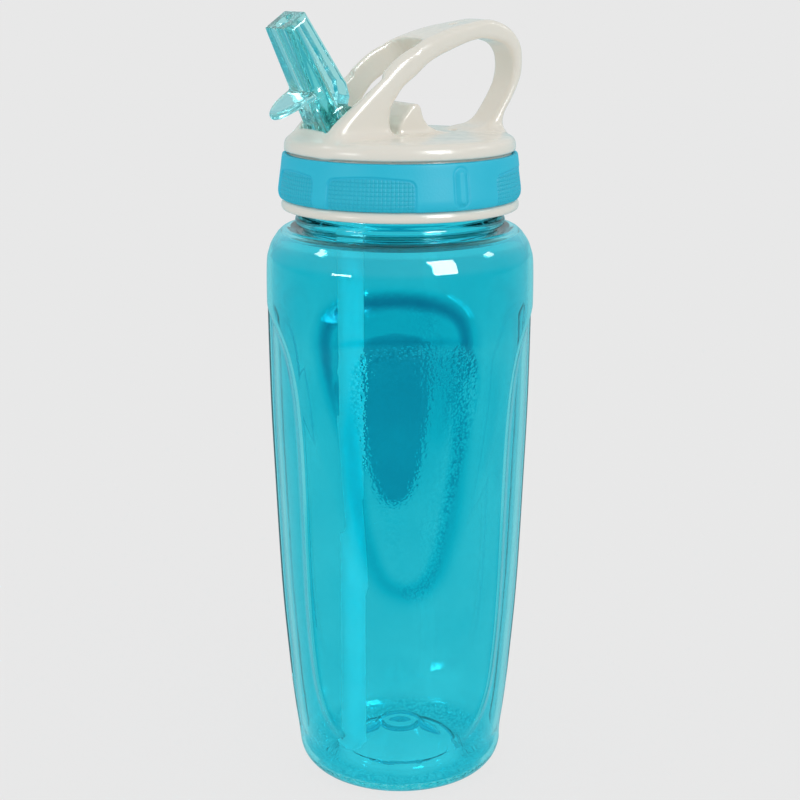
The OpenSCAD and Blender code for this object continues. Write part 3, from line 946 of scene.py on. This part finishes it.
def make_floor():
    """A pale floor, sized in mm, which thins out to nothing in front of the bottle."""
    ahead, behind, half = 400, 3000, 2000
    fade_from, fade_to, glow = -0.26, -0.05, 0.94
    back = np.array([math.sin(VIEW_TURN), math.cos(VIEW_TURN)])
    right = np.array([math.cos(VIEW_TURN), -math.sin(VIEW_TURN)])
    corners = [(-ahead, -half), (-ahead, half), (behind, half), (behind, -half)]
    verts = [[*(a * back + b * right), 0] for a, b in corners]
    obj = mesh_object("floor", verts, [[0, 1, 2, 3]], False)
    mat, nodes, links, shader = material("floor_pale", Roughness=0.9)
    shader.inputs["Base Color"].default_value = (0.06, 0.06, 0.06, 1)
    shader.inputs["Specular IOR Level"].default_value = 0.0
    shader.inputs["Emission Color"].default_value = (*PALE, 1)
    shader.inputs["Emission Strength"].default_value = glow
    place = add(nodes, "ShaderNodeTexCoord")
    along = add(nodes, "ShaderNodeVectorMath", operation="DOT_PRODUCT")
    links.new(place.outputs["Object"], along.inputs[0])
    along.inputs[1].default_value = (*back, 0)
    fade = vary(nodes, links, along.outputs["Value"], 0, 1, fade_from, fade_to)
    links.new(fade, shader.inputs["Alpha"])
    paint(obj, mat)
    obj.visible_glossy = False


def area_light(name, place, width, height, power):
    """A soft light facing the bottle's middle."""
    data = bpy.data.lights.new(name, "AREA")
    data.size, data.energy = width, power
    if height != width:
        data.shape, data.size_y = "RECTANGLE", height
    obj = bpy.data.objects.new(name, data)
    obj.location = place
    add_facing(obj, Vector(LIT) - Vector(place))
    return obj


def make_lights():
    """A key light that shiny and clear parts don't show, and glints that only they show."""
    key = area_light("key", *KEY)
    key.visible_glossy = False
    key.visible_transmission = False
    for name, values in GLINTS.items():
        area_light(name, *values).visible_diffuse = False


def make_camera():
    """The camera that shows the whole bottle from in front and a little above."""
    data = bpy.data.cameras.new("camera")
    data.lens, data.sensor_width = LENS, SENSOR
    data.clip_start, data.clip_end = 0.01, 20
    obj = bpy.data.objects.new("camera", data)
    obj.location = (-CAMERA_OUT * math.sin(VIEW_TURN), -CAMERA_OUT * math.cos(VIEW_TURN), CAMERA_UP)
    level = math.cos(VIEW_PITCH)
    add_facing(obj, (math.sin(VIEW_TURN) * level, math.cos(VIEW_TURN) * level, -math.sin(VIEW_PITCH)))
    bpy.context.scene.camera = obj


def make_world():
    """Pale all round; the clear parts mirror and bend a room that is pale only behind the bottle."""
    world = bpy.data.worlds.new("pale")
    world.use_nodes = True
    nodes, links = world.node_tree.nodes, world.node_tree.links
    background = nodes["Background"]
    place = add(nodes, "ShaderNodeTexCoord")
    turn = add(nodes, "ShaderNodeMapping")
    turn.inputs["Rotation"].default_value = (0, 0, VIEW_TURN)
    links.new(place.outputs["Generated"], turn.inputs["Vector"])
    parts = add(nodes, "ShaderNodeSeparateXYZ")
    links.new(turn.outputs["Vector"], parts.inputs["Vector"])
    behind = vary(nodes, links, parts.outputs["Y"], 0, 1, 0.1, 0.75)
    path = add(nodes, "ShaderNodeLightPath")
    plain = add(nodes, "ShaderNodeMath", operation="MAXIMUM")
    links.new(path.outputs["Is Camera Ray"], plain.inputs[0])
    links.new(path.outputs["Diffuse Depth"], plain.inputs[1])
    glossy = path.outputs["Is Glossy Ray"]
    mirrored = times(nodes, links, behind, vary(nodes, links, glossy, 1, 0.35, 0, 1))
    above = times(nodes, links, glossy, vary(nodes, links, parts.outputs["Z"], 0, 0.5, 0, 0.35))
    pale = add(nodes, "ShaderNodeMath", operation="MAXIMUM")
    links.new(plain.outputs[0], pale.inputs[0])
    links.new(plus(nodes, links, mirrored, above), pale.inputs[1])
    links.new(colour_between(nodes, links, pale.outputs[0], DIM, PALE), background.inputs["Color"])
    bpy.context.scene.world = world


make_floor()
make_camera()
make_world()
make_lights()
bpy.context.scene.view_settings.view_transform = "Standard"
# With fewer bounces, light that runs round inside the clear walls is cut off and leaves dark lines
bpy.context.scene.cycles.max_bounces = 24
bpy.context.scene.cycles.transmission_bounces = 24
bpy.context.scene.cycles.glossy_bounces = 16
